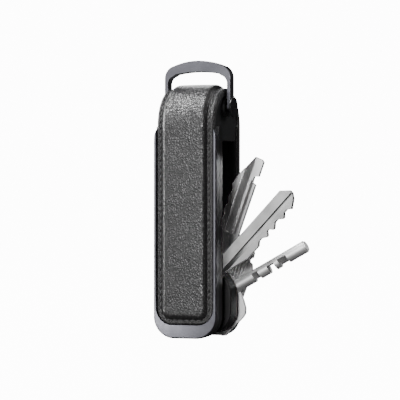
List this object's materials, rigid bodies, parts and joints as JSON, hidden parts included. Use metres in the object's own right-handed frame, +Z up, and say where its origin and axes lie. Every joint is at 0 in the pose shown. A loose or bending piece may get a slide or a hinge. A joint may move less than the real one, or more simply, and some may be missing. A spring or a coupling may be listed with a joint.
{
  "type": "key organiser",
  "caption": "Padded leather key organiser with a metal front frame, keys that fan out from a pivot post and a swinging carrying bail at the top.",
  "frame": {"origin": "middle of the flat bottom end, where the organiser stands", "axes": "+X to the side the keys open on, +Y to the back, +Z up towards the carrying bail; the padded front faces -Y"},
  "size_m": [0.0546, 0.0302, 0.1001],
  "materials": {
    "gunmetal": "satin grey anodised",
    "black_plate": "satin black",
    "leather": "fine pebbled black leather",
    "lining": "smooth black leather",
    "core": "moulded black plastic",
    "black_screw": "black oxide",
    "steel": "turned steel",
    "key_steel": "polished nickel plate",
    "inlay": "black key head inlay"
  },
  "bodies": {
    "body": {"front_frame": "gunmetal", "front_plate": "black_plate", "rear_plate": "black_plate", "rear_cap": "gunmetal", "strap_outer": "leather", "strap_lining": "lining", "padded_panel": "leather", "top_core": "core", "spacer_block": "core", "bail_screws": "black_screw", "pivot_post": "steel", "pivot_screw": "steel", "thin_washers": "steel", "spacer_washers": "steel", "frame_screws": "steel", "rear_screws": "steel", "core_screws": "steel"},
    "bail": {"bail": "gunmetal"},
    "upper_key": {"upper_key": "key_steel", "upper_key_inlays": "inlay"},
    "middle_key": {"middle_key": "key_steel"},
    "lower_key": {"lower_key": "key_steel"}
  },
  "joints": [
    {"name": "bail_swing", "type": "hinge", "parent": "body", "child": "bail", "pos_m": [0, 0, 0.083], "axis": [1, 0, 0], "range_deg": [-55, 55]},
    {"name": "upper_key_turn", "type": "hinge", "parent": "body", "child": "upper_key", "pos_m": [0, 0.0082, 0.0132], "axis": [0, 1, 0], "range_deg": [-20, 110]},
    {"name": "middle_key_turn", "type": "hinge", "parent": "body", "child": "middle_key", "pos_m": [0, -0.0063, 0.0132], "axis": [0, 1, 0], "range_deg": [-43.4, 100]},
    {"name": "lower_key_turn", "type": "hinge", "parent": "body", "child": "lower_key", "pos_m": [0, 0.0047, 0.0132], "axis": [0, 1, 0], "range_deg": [-61, 80]}
  ]
}
